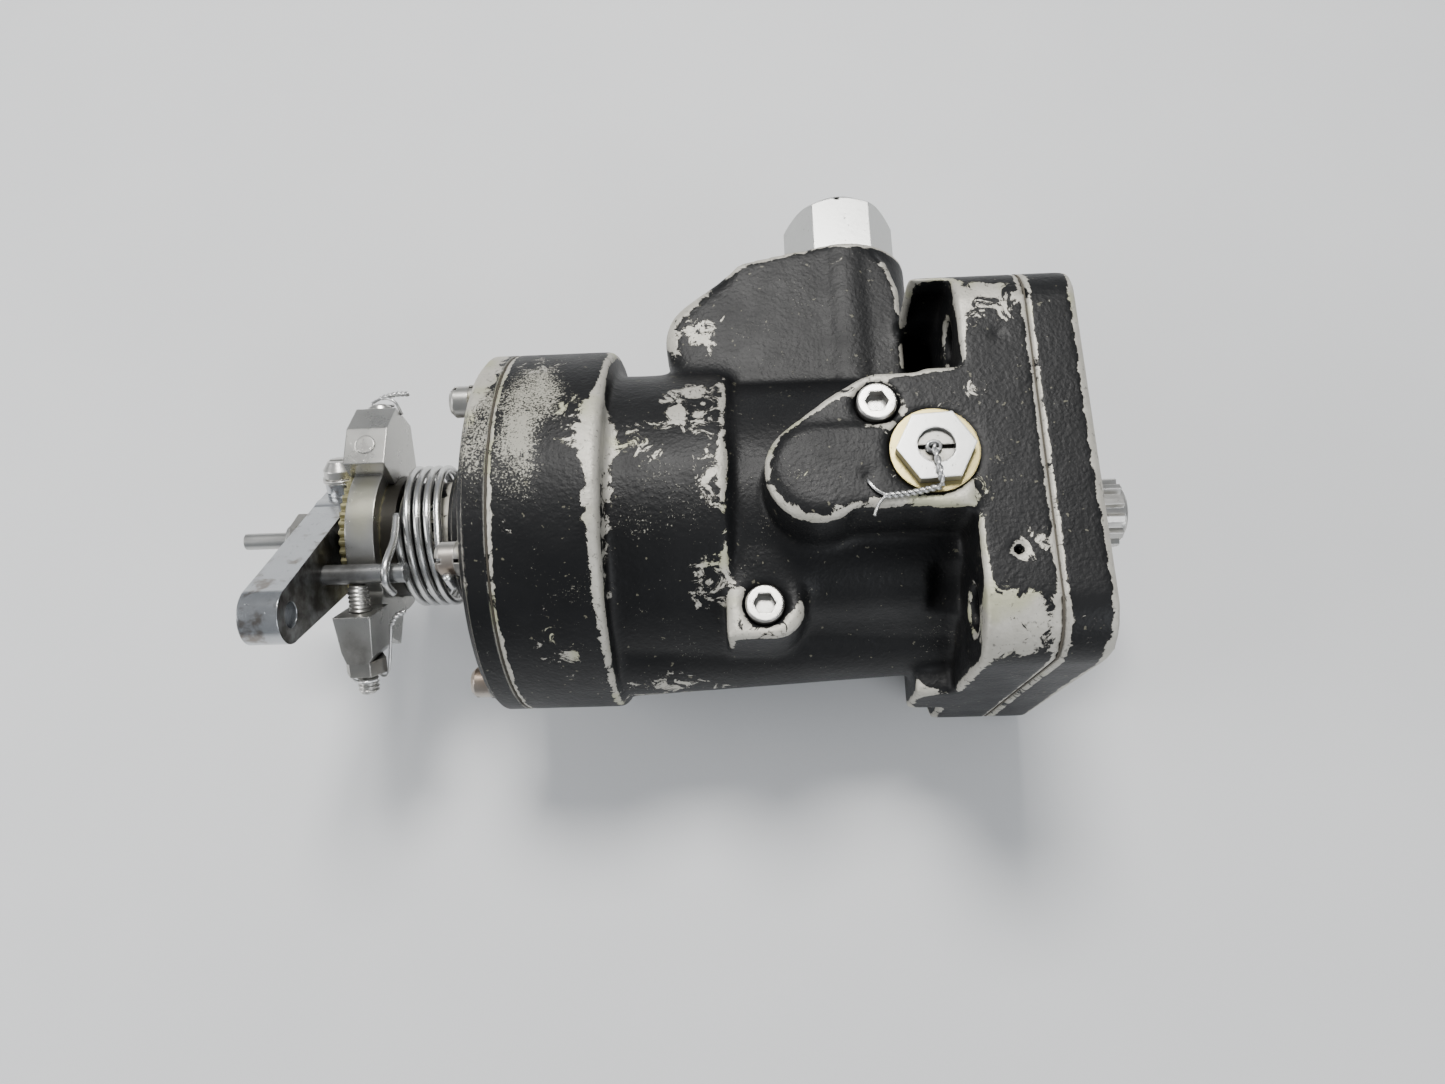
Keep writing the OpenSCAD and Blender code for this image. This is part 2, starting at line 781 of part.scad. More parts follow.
module lever_clamp_screw() color("#b9b4a4")
    difference() {
        union() {
            across_lever(-6.5, clamp_seat + 1, 1.5);
            across_lever(clamp_seat + 0.85, clamp_seat + 2.6, 3.3);
            across_lever(clamp_seat + 2.6, clamp_seat + 4.3, 3.3, 2.1);
        }
        rotate([lever_lean, 0, 0])
            block(lever_back - 1, lever_front + 1, clamp_seat + 3.1, clamp_seat + 5,
                -clamp_drop - 0.5, -clamp_drop + 0.5);
    }

module lever_tab_washer() color("#b3ae9c")
    difference() {
        across_lever(clamp_seat + 0.04, clamp_seat + 0.8, 3.7);
        across_lever(clamp_seat - 1, clamp_seat + 2, 1.65);
    }

module lever_nut() color("#a5a49c")
    difference() {
        hex_x(lever_front + 0.35, lever_front + 5.6, 9.5, 8);
        rod(lever_front - 1, lever_front + 7, 3.14);
    }

module spring_post() color("#8f9494")
    rod(124.3, lever_front, post_r, post_y, post_z);

module lever_spring() color("#b6b6b0")
    wire(concat(
        [[-127.3, -15.6, 12.2], [-127.3, -14.9, 16.4], [-127.1, -11.8, 17.6], [-126.8, -6, 15.4]],
        coil_x(126.6, 118.6, 13.75, lever_spring_turns, 20, 0, 0.06),
        [[-117.4, -10.5, 15.6], [-113.2, -16.6, 21.5], [-111.3, -18.6, 26], [-111.2, -18.2, 30]]),
        0.78, 8, [1, 0.02, 0.03]);

casting_flange();
casting_webs();
casting_barrel();
base_plate();
cover();
cover_gasket();
base_gasket();
cover_screws();
cover_lock_washers();
base_screws();
relief_plug();
relief_plug_washer();
relief_plunger();
relief_spring();
relief_adjuster();
side_plug();
side_plug_seal();
check_ball();
check_spring();
passage_screws();
base_bushing();
body_bushing();
idler_post();
drive_shaft();
drive_gear();
idler_gear();
flyweight_carrier();
flyweight_pins();
flyweight_1();
flyweight_2();
pilot_valve();
thrust_bearing();
lower_spring_seat();
speeder_spring();
upper_spring_seat();
seat_guide_pin();
control_shaft();
control_bushing();
control_seal();
serrated_collar();
stop_arm();
high_stop_screw();
low_stop_screw();
stop_jam_nut();
stop_arm_pin();
control_lever();
lever_clamp_screw();
lever_tab_washer();
lever_nut();
spring_post();
lever_spring();
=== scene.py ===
"""Looks of the propeller governor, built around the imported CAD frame.

Lengths in mm() are millimetres in the row frame. X is the drive axis, pointing out of the mounting
face, Z is up, and +Y is the side plug's side. Everything else is in metres.
"""

import math

import bmesh
import bpy
import numpy as np
from mathutils import Euler, Matrix, Vector


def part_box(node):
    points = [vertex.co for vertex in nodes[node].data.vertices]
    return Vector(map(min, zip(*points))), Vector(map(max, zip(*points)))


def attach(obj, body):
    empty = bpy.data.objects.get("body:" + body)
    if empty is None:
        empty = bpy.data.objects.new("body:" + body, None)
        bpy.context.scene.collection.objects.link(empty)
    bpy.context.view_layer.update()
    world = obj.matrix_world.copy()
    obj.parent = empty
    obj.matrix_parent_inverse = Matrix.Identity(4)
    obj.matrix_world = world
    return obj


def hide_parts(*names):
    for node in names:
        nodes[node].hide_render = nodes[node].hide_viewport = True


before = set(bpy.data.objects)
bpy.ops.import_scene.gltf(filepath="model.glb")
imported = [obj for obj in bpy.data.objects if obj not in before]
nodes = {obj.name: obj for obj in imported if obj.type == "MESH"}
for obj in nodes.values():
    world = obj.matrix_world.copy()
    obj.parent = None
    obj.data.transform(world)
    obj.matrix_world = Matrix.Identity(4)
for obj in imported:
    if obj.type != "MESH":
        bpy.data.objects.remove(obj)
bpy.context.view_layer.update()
FLOOR_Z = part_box("casting_flange")[0].z


def mm(*values):
    return Vector(values) / 1000


# ---------- material helpers ----------


class Shader:
    """One material with a Principled shader, and short calls that add nodes to it."""

    def __init__(self, name):
        self.material = bpy.data.materials.new(name)
        self.material.use_nodes = True
        self.tree = self.material.node_tree
        self.tree.nodes.clear()
        self.bsdf = self.add("ShaderNodeBsdfPrincipled")
        output = self.add("ShaderNodeOutputMaterial")
        self.tree.links.new(self.bsdf.outputs[0], output.inputs["Surface"])
        self.place = self.add("ShaderNodeTexCoord").outputs["Object"]

    def add(self, kind, inputs=None, **settings):
        node = self.tree.nodes.new(kind)
        for key, value in settings.items():
            setattr(node, key, value)
        for key, value in (inputs or {}).items():
            if isinstance(value, bpy.types.NodeSocket):
                self.tree.links.new(value, node.inputs[key])
            else:
                node.inputs[key].default_value = value
        return node

    def maths(self, operation, a, b=0.0, clamp=False):
        node = self.add("ShaderNodeMath", {0: a, 1: b}, operation=operation, use_clamp=clamp)
        return node.outputs[0]

    def vector(self, operation, a, b):
        return self.add("ShaderNodeVectorMath", {0: a, 1: b}, operation=operation)

    def noise(self, scale, detail=4.0, rough=0.6, stretch=(1, 1, 1), twist=0.0):
        place = self.add("ShaderNodeMapping", {"Vector": self.place, "Scale": stretch}).outputs[0]
        settings = {"Vector": place, "Scale": scale, "Detail": detail, "Roughness": rough,
                    "Distortion": twist}
        return self.add("ShaderNodeTexNoise", settings).outputs["Fac"]

    def step(self, value, low, high):
        """0 below low, 1 above high, smooth between; low above high turns it round."""
        settings = {"Value": value, "From Min": low, "From Max": high}
        return self.add("ShaderNodeMapRange", settings, interpolation_type="SMOOTHSTEP").outputs[0]

    def level(self, value, low, high):
        """value from 0 to 1 becomes low to high."""
        settings = {"Value": value, "To Min": low, "To Max": high}
        return self.add("ShaderNodeMapRange", settings).outputs[0]

    def mix(self, share, a, b):
        colours = [c if isinstance(c, bpy.types.NodeSocket) else (*c, 1) for c in (a, b)]
        node = self.add("ShaderNodeMix", {"Factor": share}, data_type="RGBA")
        for key, colour in zip((6, 7), colours):
            if isinstance(colour, bpy.types.NodeSocket):
                self.tree.links.new(colour, node.inputs[key])
            else:
                node.inputs[key].default_value = colour
        return node.outputs[2]

    def zone(self, centre, reach):
        """1 in the middle of an ellipsoid, given in millimetres, falling to 0 at its skin."""
        offset = self.vector("SUBTRACT", self.place, mm(*centre)).outputs[0]
        scaled = self.vector("DIVIDE", offset, mm(*reach)).outputs[0]
        away = self.add("ShaderNodeVectorMath", {0: scaled}, operation="LENGTH").outputs["Value"]
        return self.step(away, 1.0, 0.35)

    def soft_edge(self, radius):
        """How sharply the surface turns within radius, from 0 on a flat to 1 on a corner, and
        the rounded normal."""
        rounded = self.add("ShaderNodeBevel", {"Radius": radius}, samples=4).outputs[0]
        flat = self.add("ShaderNodeNewGeometry").outputs["Normal"]
        same = self.vector("DOT_PRODUCT", rounded, flat).outputs["Value"]
        return self.step(same, 0.995, 0.8), rounded

    def crevice_shade_mask(self, distance):
        """1 in corners and crevices, found by ambient occlusion: the mask for painted shade there."""
        shade = self.add("ShaderNodeAmbientOcclusion", {"Distance": distance}, samples=6)
        return self.step(shade.outputs["AO"], 0.62, 0.20)

    def finish(self, colour, metallic, roughness, heights, normal=None):
        """heights is a list of (value, distance in mm) for the bumps, coarse first."""
        for value, distance in heights:
            settings = {"Height": value, "Distance": distance / 1000, "Strength": 1.0}
            if normal is not None:
                settings["Normal"] = normal
            normal = self.add("ShaderNodeBump", settings).outputs[0]
        sockets = {"Base Color": colour, "Metallic": metallic, "Roughness": roughness, "Normal": normal}
        for key, value in sockets.items():
            if isinstance(value, bpy.types.NodeSocket):
                self.tree.links.new(value, self.bsdf.inputs[key])
            elif value is not None:
                self.bsdf.inputs[key].default_value = value
        return self.material


def add_all(shader, terms):
    total = terms[0]
    for term in terms[1:]:
        total = shader.maths("ADD", total, term)
    return total


def painted(name, bare_places, rubbed_places, worn_edges, dense=True):
    """Black paint over a casting: chipped to bare metal in bare_places and along the edges, and
    rubbed through to a grey speckle in rubbed_places. Places are (centre, reach, weight) in mm.
    dense is for a piece made by cast_skin, which carries the "wear" attribute."""
    s = Shader(name)
    flake = s.noise(260, detail=10, rough=0.72, twist=0.9)
    speck = s.noise(1100, detail=3, rough=0.6)
    patch = s.noise(42, detail=3)
    zones = add_all(s, [s.maths("MULTIPLY", s.zone(c, r), w) for c, r, w in bare_places])
    if dense:
        turned = s.add("ShaderNodeAttribute", attribute_name="wear_and_shade").outputs["Fac"]
        edge, rounded = s.step(turned, 0.10, 0.45), None
        hollow_shade = s.step(turned, -0.05, -0.5)
    else:
        edge, rounded = s.soft_edge(0.0007)
        hollow_shade = s.crevice_shade_mask(0.003)
    field = add_all(s, [
        flake,
        s.maths("MULTIPLY", patch, 0.30),
        s.maths("MULTIPLY", speck, 0.11),
        s.maths("MULTIPLY", zones, 0.28),
        s.maths("MULTIPLY", edge, worn_edges),
    ])
    chips = s.step(field, 0.955, 0.965)
    rim = s.maths("SUBTRACT", s.step(field, 0.93, 0.945), chips)
    film = s.noise(45, detail=5)
    paint = s.mix(s.step(film, 0.35, 0.75), (0.0035, 0.0037, 0.0042), (0.0085, 0.0087, 0.0094))
    spots = s.maths("MULTIPLY", s.step(s.noise(700, detail=2), 0.70, 0.73), 0.55)
    paint = s.mix(spots, paint, (0.20, 0.19, 0.14))
    if rubbed_places:
        rub = add_all(s, [s.maths("MULTIPLY", s.zone(c, r), w) for c, r, w in rubbed_places])
        fine = s.noise(2600, detail=3, rough=0.7)
        level = add_all(s, [
            fine,
            s.maths("MULTIPLY", s.noise(130, detail=5), 0.5),
            s.maths("MULTIPLY", rub, 0.25),
        ])
        paint = s.mix(s.step(level, 0.95, 1.04), paint, (0.33, 0.32, 0.27))
    bare = s.mix(s.noise(260, detail=6, rough=0.7), (0.34, 0.325, 0.28), (0.62, 0.60, 0.54))
    stained = s.maths("MULTIPLY", s.step(s.noise(70, detail=2), 0.55, 0.66), 0.5)
    bare = s.mix(stained, bare, (0.40, 0.41, 0.22))
    bare = s.mix(s.maths("MULTIPLY", s.step(speck, 0.60, 0.70), 0.6), bare, (0.09, 0.088, 0.08))
    colour = s.mix(s.maths("MULTIPLY", rim, 0.30), paint, (0.08, 0.075, 0.065))
    colour = s.mix(chips, colour, bare)
    # Painted shade: hollows and crevices darkened towards black.
    colour = s.mix(s.maths("MULTIPLY", hollow_shade, 0.3), colour, (0.008, 0.007, 0.006))
    roughness = s.level(s.noise(160, detail=6), 0.38, 0.56)
    roughness = s.maths("ADD", roughness, s.maths("MULTIPLY", chips, 0.08))
    grain = s.noise(1300, detail=3, rough=0.5)
    swell = s.noise(260, detail=3)
    heights = [(swell, 0.12), (grain, 0.10), (s.maths("SUBTRACT", 1.0, chips), 0.08)]
    s.bsdf.inputs["Specular IOR Level"].default_value = 0.26
    return s.finish(colour, s.maths("MULTIPLY", chips, 0.45), roughness, heights, rounded)


def steel(name, light, dark, roughness, crevice_shade_strength=0.6, stretch=(1, 1, 1), stain=None, oily=None,
          tint=None):
    """Machined steel: tool marks, worn bright edges, painted shade in the corners and a few stains.
    oily is a list of (centre, reach, weight) in mm where it is black with oil, or a direction, as a
    Vector: faces turned that way are made black. tint is (colour, places): another colour there."""
    s = Shader(name)
    edge, rounded = s.soft_edge(0.00035)
    marks = s.noise(900, detail=4, rough=0.6, stretch=stretch)
    cloud = s.noise(140, detail=6, rough=0.65)
    pits = s.step(s.noise(1300, detail=2), 0.68, 0.76)
    colour = s.mix(cloud, dark, light)
    colour = s.mix(s.maths("MULTIPLY", marks, 0.30), colour, tuple(c * 0.6 for c in light))
    if tint:
        other, places = tint
        there = add_all(s, [s.maths("MULTIPLY", s.zone(c, r), w, clamp=True) for c, r, w in places])
        colour = s.mix(there, colour, other)
    if stain:
        stained = s.maths("MULTIPLY", s.step(s.noise(210, detail=5), 0.52, 0.66), 0.8)
        colour = s.mix(stained, colour, stain)
    colour = s.mix(s.maths("MULTIPLY", pits, 0.6), colour, tuple(c * 0.25 for c in dark))
    colour = s.mix(s.maths("MULTIPLY", edge, 0.6), colour, tuple(min(c * 1.3, 0.95) for c in light))
    # Painted shade: corners and crevices darkened, patchily, and joined with the black film that oily
    # gives; the same mask makes the metal rougher and less metallic.
    patchiness = s.level(s.noise(320, detail=5), 0.4, 1.4)
    shade_and_oil = s.maths("MULTIPLY", s.maths("MULTIPLY", s.crevice_shade_mask(0.0025), crevice_shade_strength), patchiness, clamp=True)
    if oily:
        if isinstance(oily, Vector):
            facing = s.add("ShaderNodeNewGeometry").outputs["Normal"]
            film = s.step(s.vector("DOT_PRODUCT", facing, oily).outputs["Value"], 0.6, 0.9)
        else:
            film = add_all(s, [s.maths("MULTIPLY", s.zone(c, r), w) for c, r, w in oily])
        shade_and_oil = s.maths("MAXIMUM", shade_and_oil, s.maths("MULTIPLY", film, patchiness, clamp=True))
    colour = s.mix(shade_and_oil, colour, (0.016, 0.014, 0.010))
    rough = s.maths("ADD", s.level(cloud, roughness - 0.09, roughness + 0.12),
                    s.maths("MULTIPLY", shade_and_oil, 0.12))
    metallic = s.level(shade_and_oil, 0.95, 0.55)
    heights = [(marks, 0.012), (s.maths("SUBTRACT", 1.0, pits), 0.02)]
    return s.finish(colour, metallic, rough, heights, rounded)


# ---------- mesh helpers ----------


def add_mesh(name, mesh):
    piece = bpy.data.objects.new(name, mesh)
    bpy.context.scene.collection.objects.link(piece)
    return piece


def relax(points, edges, share, rounds):
    """Moves each point towards the mean of its neighbours; share is per point, from 0 to 1."""
    count = len(points)
    neighbours = np.bincount(edges.ravel(), minlength=count).clip(1)[:, None]
    for _ in range(rounds):
        total = np.zeros_like(points)
        for axis in range(3):
            total[:, axis] = np.bincount(edges[:, 0], points[edges[:, 1], axis], count)
            total[:, axis] += np.bincount(edges[:, 1], points[edges[:, 0], axis], count)
        points = points + share * (total / neighbours - points)
    return points


def cast_skin(name, parts, voxel, rounds, machined, extra=()):
    """CAD nodes as one cast surface: evenly meshed, with rounded edges and filleted corners.
    machined is a list of (axis, place in mm): the skin stays flat and crisp around those planes.
    extra is a list of (centre, reach, rounds): rounder still inside that ellipsoid.
    The attribute "wear" is how far a point stands out of its surroundings, in mm: the paint wears off
    where it stands out and gets painted shade where it sinks in."""
    b = bmesh.new()
    for part in parts:
        b.from_mesh(nodes[part].data)
    bmesh.ops.remove_doubles(b, verts=b.verts, dist=1e-6)
    mesh = bpy.data.meshes.new(name)
    b.to_mesh(mesh)
    b.free()
    raw = add_mesh(name + "_raw", mesh)
    remesh = raw.modifiers.new("even", "REMESH")
    remesh.mode, remesh.voxel_size = "VOXEL", voxel / 1000
    graph = bpy.context.evaluated_depsgraph_get()
    mesh = bpy.data.meshes.new_from_object(raw.evaluated_get(graph))
    bpy.data.objects.remove(raw)
    count = len(mesh.vertices)
    points = np.empty(count * 3)
    mesh.vertices.foreach_get("co", points)
    points = points.reshape(-1, 3) * 1000
    edges = np.empty(len(mesh.edges) * 2, int)
    mesh.edges.foreach_get("vertices", edges)
    edges = edges.reshape(-1, 2)
    share = np.full(count, 0.5)
    for axis, place in machined:
        share = np.minimum(share, np.clip((abs(points[:, axis] - place) - 0.9) / 1.2, 0, 0.5))
    points = relax(points, edges, share[:, None], rounds)
    for centre, reach, more in extra:
        away = np.sqrt((((points - centre) / reach) ** 2).sum(1))
        near = share * np.clip((1 - away) / 0.35, 0, 1)
        points = relax(points, edges, near[:, None], more)
    wide = relax(points, edges, 0.5, 24)
    mesh.vertices.foreach_set("co", (points / 1000).ravel())
    mesh.update()
    normals = np.empty(count * 3)
    mesh.vertex_normals.foreach_get("vector", normals)
    stands_out = ((points - wide) * normals.reshape(-1, 3)).sum(1)
    wear_and_shade = mesh.attributes.new("wear_and_shade", "FLOAT", "POINT")
    wear_and_shade.data.foreach_set("value", stands_out)
    mesh.shade_smooth()
    return add_mesh(name, mesh)


def smooth_path(points, steps):
    """A smooth line through the points, as many steps between each two."""
    line = []
    for i in range(len(points) - 1):
        a, b = points[max(i - 1, 0)], points[i]
        c, d = points[i + 1], points[min(i + 2, len(points) - 1)]
        for k in range(steps):
            t = k / steps
            line.append(0.5 * (2 * b + (c - a) * t + (2 * a - 5 * b + 4 * c - d) * t * t
                               + (3 * b - a - 3 * c + d) * t ** 3))
    return line + [points[-1]]


def tube(name, lines, r, sides=10):
    """Round wire along each line, as one mesh piece with closed ends. Lines and r in mm."""
    b = bmesh.new()
    for line in lines:
        up, rings = Vector((0.31, 0.47, 0.83)), []
        for i, point in enumerate(line):
            along = (line[min(i + 1, len(line) - 1)] - line[max(i - 1, 0)]).normalized()
            up = (up - along * up.dot(along)).normalized()
            across = along.cross(up)
            turns = [k * 2 * math.pi / sides for k in range(sides)]
            rings.append([b.verts.new((point + r * (math.cos(a) * up + math.sin(a) * across)) / 1000)
                          for a in turns])
        for low, high in zip(rings, rings[1:]):
            for k in range(sides):
                b.faces.new((low[k], low[(k + 1) % sides], high[(k + 1) % sides], high[k]))
        b.faces.new(rings[0][::-1])
        b.faces.new(rings[-1])
    bmesh.ops.recalc_face_normals(b, faces=b.faces)
    mesh = bpy.data.meshes.new(name)
    b.to_mesh(mesh)
    b.free()
    mesh.shade_smooth()
    return add_mesh(name, mesh)


def twisted(points, r, pitch):
    """Two wires wound round one another along the points: their two centre lines."""
    path = smooth_path([Vector(p) for p in points], 24)
    up, walked, lines = Vector((0.31, 0.47, 0.83)), 0.0, ([], [])
    for i, point in enumerate(path):
        along = (path[min(i + 1, len(path) - 1)] - path[max(i - 1, 0)]).normalized()
        up = (up - along * up.dot(along)).normalized()
        walked += (point - path[i - 1]).length if i else 0
        turn = walked / pitch * 2 * math.pi
        side = r * (math.cos(turn) * up + math.sin(turn) * along.cross(up))
        lines[0].append(point + side)
        lines[1].append(point - side)
    return lines


def screw_thread(name, x, z, low, high, r, pitch, depth, point=0.6):
    """Thread along Y with rounded crests, in mm, closed at both ends."""
    b = bmesh.new()
    around, per_turn = 40, 12
    count = int((high - low) / pitch * per_turn)
    rings = []
    for i in range(count + 1):
        y = low + (high - low) * i / count
        near = min(y - low, high - y)
        ring = []
        for k in range(around):
            a = k * 2 * math.pi / around
            phase = (y / pitch - k / around) % 1
            cut = depth * (1 - abs(2 * phase - 1)) ** 1.2
            radius = r - cut - max(point - near, 0) * 0.8
            ring.append(b.verts.new((mm(x + radius * math.cos(a), y, z + radius * math.sin(a)))))
        rings.append(ring)
    for one, two in zip(rings, rings[1:]):
        for k in range(around):
            b.faces.new((one[k], one[(k + 1) % around], two[(k + 1) % around], two[k]))
    b.faces.new(rings[0][::-1])
    b.faces.new(rings[-1])
    bmesh.ops.recalc_face_normals(b, faces=b.faces)
    mesh = bpy.data.meshes.new(name)
    b.to_mesh(mesh)
    b.free()
    mesh.shade_smooth()
    return add_mesh(name, mesh)


def dress(piece, material, body="root", stands_for=()):
    piece.data.materials.clear()
    piece.data.materials.append(material)
    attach(piece, body)
    if stands_for:
        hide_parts(*stands_for)
    return piece


def paint_node(node, material):
    """Gives a carried-over CAD node its material."""
    nodes[node].data.materials.clear()
    nodes[node].data.materials.append(material)


# ---------- camera, floor and light ----------

camera = bpy.data.objects.new("camera", bpy.data.cameras.new("camera"))
bpy.context.scene.collection.objects.link(camera)
camera.data.sensor_width = 36
camera.data.lens = 25.31
turn = (Euler((0, 0, 0.033)).to_matrix() @ Euler((0, -0.041, 0)).to_matrix()
        @ Euler((-0.325, 0, 0)).to_matrix())
camera.matrix_world = turn.transposed().to_4x4()
camera.location = (-0.05596, -0.06968, 0.19652)
camera.data.clip_start = 0.01
bpy.context.scene.camera = camera


def make_floor():
    s = Shader("floor")
    colour = s.mix(s.noise(18, detail=3), (0.66, 0.67, 0.68), (0.72, 0.725, 0.73))
    roughness = s.level(s.noise(30), 0.5, 0.65)
    material = s.finish(colour, 0.0, roughness, [(s.noise(700, detail=2), 0.03)])
    bpy.ops.mesh.primitive_plane_add(size=6, location=(0, 0, FLOOR_Z))
    floor = bpy.context.object
    floor.name = "floor"
    floor.data.materials.append(material)


def add_light(name, place, aim, size, power, colour=(1, 1, 1)):
    light = bpy.data.objects.new(name, bpy.data.lights.new(name, "AREA"))
    light.data.shape, light.data.size, light.data.energy = "DISK", size, power
    light.data.color = colour
    light.location = place
    light.rotation_euler = (Vector(aim) - Vector(place)).to_track_quat("-Z", "Y").to_euler()
    bpy.context.scene.collection.objects.link(light)


make_floor()
add_light("key", (-0.10, 0.40, 0.80), (-0.06, 0, 0), 0.30, 10.0, (1.0, 0.985, 0.96))
add_light("fill", (0.55, -0.75, 0.60), (-0.06, 0, 0), 0.7, 5.0, (0.93, 0.96, 1.0))
add_light("side", (-0.85, -0.10, 0.45), (-0.06, 0, 0), 0.5, 4.0)
world = bpy.data.worlds.new("studio")
world.use_nodes = True
world.node_tree.nodes["Background"].inputs["Color"].default_value = (0.86, 0.90, 0.96, 1)
world.node_tree.nodes["Background"].inputs["Strength"].default_value = 0.36
bpy.context.scene.world = world

# ---------- materials ----------

CASTING_WEAR = [
    # centre, reach, weight: where the photograph shows the paint gone
    ((-84.8, -4, 30), (4.5, 28, 28), 1.05),  # rim of the large cylinder
    ((-88, 8, 34), (8, 13, 10), 0.8),
    ((-97, 24, 26), (10, 8, 9), 0.75),
    ((-99, -12, 34), (7, 7, 7), 0.55),
    ((-92, -27, 22), (11, 14, 14), 0.50),    # small chips low on the cylinder
    ((-69, 16, 27), (9, 13, 10), 1.0),       # neck, towards its step
    ((-77, 6, 30), (9, 8, 6), 0.75),
    ((-65, -1, 31), (5, 12, 8), 0.75),
    ((-65, -20, 25), (8, 9, 9), 0.9),
    ((-74, -35, 2), (18, 8, 14), 0.85),      # lower silhouette of the neck
    ((-16, 27, 39), (9, 10, 6), 1.0),        # upper corner of the flange
    ((-17, -31, 36), (12, 9, 12), 1.25),     # lower corner of the flange
    ((-13, -19, 39), (5, 7, 3), 0.8),
    ((-68, 37, 14), (9, 12, 6), 0.85),       # rounded end of the lobe
    ((-38, 49, 15), (10, 6, 5), 0.55),
    ((-46, -4, 39.8), (10.5, 10.5, 2), 0.35),
    ((-24, 9, 39.5), (10, 5, 3), 0.6),
    ((-22, -9, 39.5), (8, 5, 3), 0.6),
]
RUBBED = [
    ((-97, 14, 32), (9, 15, 14), 1.0),
    ((-99, 0, 35), (7, 12, 8), 0.8),
    ((-75, -6, 30), (10, 12, 8), 0.35),
]
black_casting = painted("black_casting", CASTING_WEAR, RUBBED, 0.36)
black_base = painted("black_base", [
    ((-0.5, 0, 39), (2.2, 42, 5), 0.9),
    ((-0.5, -36, 10), (2.5, 6, 42), 0.8),
    ((-5, -33, 36), (7, 8, 8), 0.55),
    ((-5, 30, 39), (5, 9, 4), 0.35),
], [], 0.34)
black_cover = painted("black_cover", [
    ((-108, 20, 22), (6, 24, 34), 1.5),
    ((-109, -14, 30), (3, 14, 12), 0.75),
    ((-118, 0, 0), (9, 17, 17), 2.2),
], [((-106, 8, 33), (6, 20, 14), 1.0)], 0.34, dense=False)
bright_plug = steel("bright_plug", (0.66, 0.665, 0.65), (0.46, 0.465, 0.45), 0.34, 0.5)
bright_steel = steel("bright_steel", (0.70, 0.69, 0.66), (0.42, 0.41, 0.38), 0.27, 0.85)
turned_steel = steel("turned_steel", (0.60, 0.60, 0.58), (0.34, 0.34, 0.33), 0.30, 0.8, (6, 1, 1))
dull_steel = steel("dull_steel", (0.44, 0.43, 0.40), (0.22, 0.215, 0.20), 0.36, 1.0,
                   stain=(0.15, 0.14, 0.09))
stop_steel = steel("stop_steel", (0.60, 0.595, 0.57), (0.38, 0.375, 0.35), 0.27, 1.0, (1, 5, 1),
                   oily=[((-134, -26, 8), (6, 9, 9), 0.75), ((-134, -12, 10), (6, 6, 8), 0.5)],
                   tint=((0.52, 0.50, 0.34), [((-134, 2, 15), (4, 10, 5), 0.5)]))
lever_steel = steel("lever_steel", (0.62, 0.64, 0.66), (0.36, 0.37, 0.38), 0.20, 0.9, (1, 1, 5),
                    (0.17, 0.14, 0.11), oily=Vector((1, 0, 0)))
screw_steel = steel("screw_steel", (0.58, 0.57, 0.54), (0.34, 0.335, 0.31), 0.32, 0.9,
                    tint=((0.30, 0.20, 0.13), [((-111, -25, 18), (9, 16, 30), 1.0)]))
spring_wire = steel("spring_wire", (0.74, 0.74, 0.73), (0.52, 0.52, 0.51), 0.22, 0.9)
post_steel = steel("post_steel", (0.52, 0.53, 0.53), (0.25, 0.25, 0.25), 0.25, 1.0,
                   oily=[((-136, -12, 14), (9, 6, 6), 0.8)])
lock_wire = steel("lock_wire", (0.74, 0.74, 0.73), (0.50, 0.50, 0.49), 0.28, 0.4)
oiled_brass = steel("oiled_brass", (0.56, 0.52, 0.30), (0.32, 0.29, 0.16), 0.30, 0.85,
                    oily=[((-129, 0, 0), (4.5, 30, 30), 1.6)])
bronze = steel("bronze", (0.58, 0.40, 0.20), (0.34, 0.23, 0.11), 0.36, 0.6)
chromate = steel("chromate", (0.62, 0.52, 0.24), (0.36, 0.30, 0.13), 0.34, 0.7)


def dull(name, light, dark, roughness):
    s = Shader(name)
    colour = s.mix(s.noise(400, detail=6), dark, light)
    # Painted shade: crevices darkened towards black.
    colour = s.mix(s.maths("MULTIPLY", s.crevice_shade_mask(0.002), 0.6), colour, (0.01, 0.009, 0.008))
    rough = s.level(s.noise(700, detail=4), roughness - 0.1, roughness + 0.1)
    return s.finish(colour, 0.0, rough, [(s.noise(1800, detail=3), 0.03)])


gasket = dull("gasket", (0.10, 0.085, 0.06), (0.04, 0.036, 0.03), 0.75)
rubber = dull("rubber", (0.030, 0.029, 0.028), (0.014, 0.014, 0.014), 0.5)

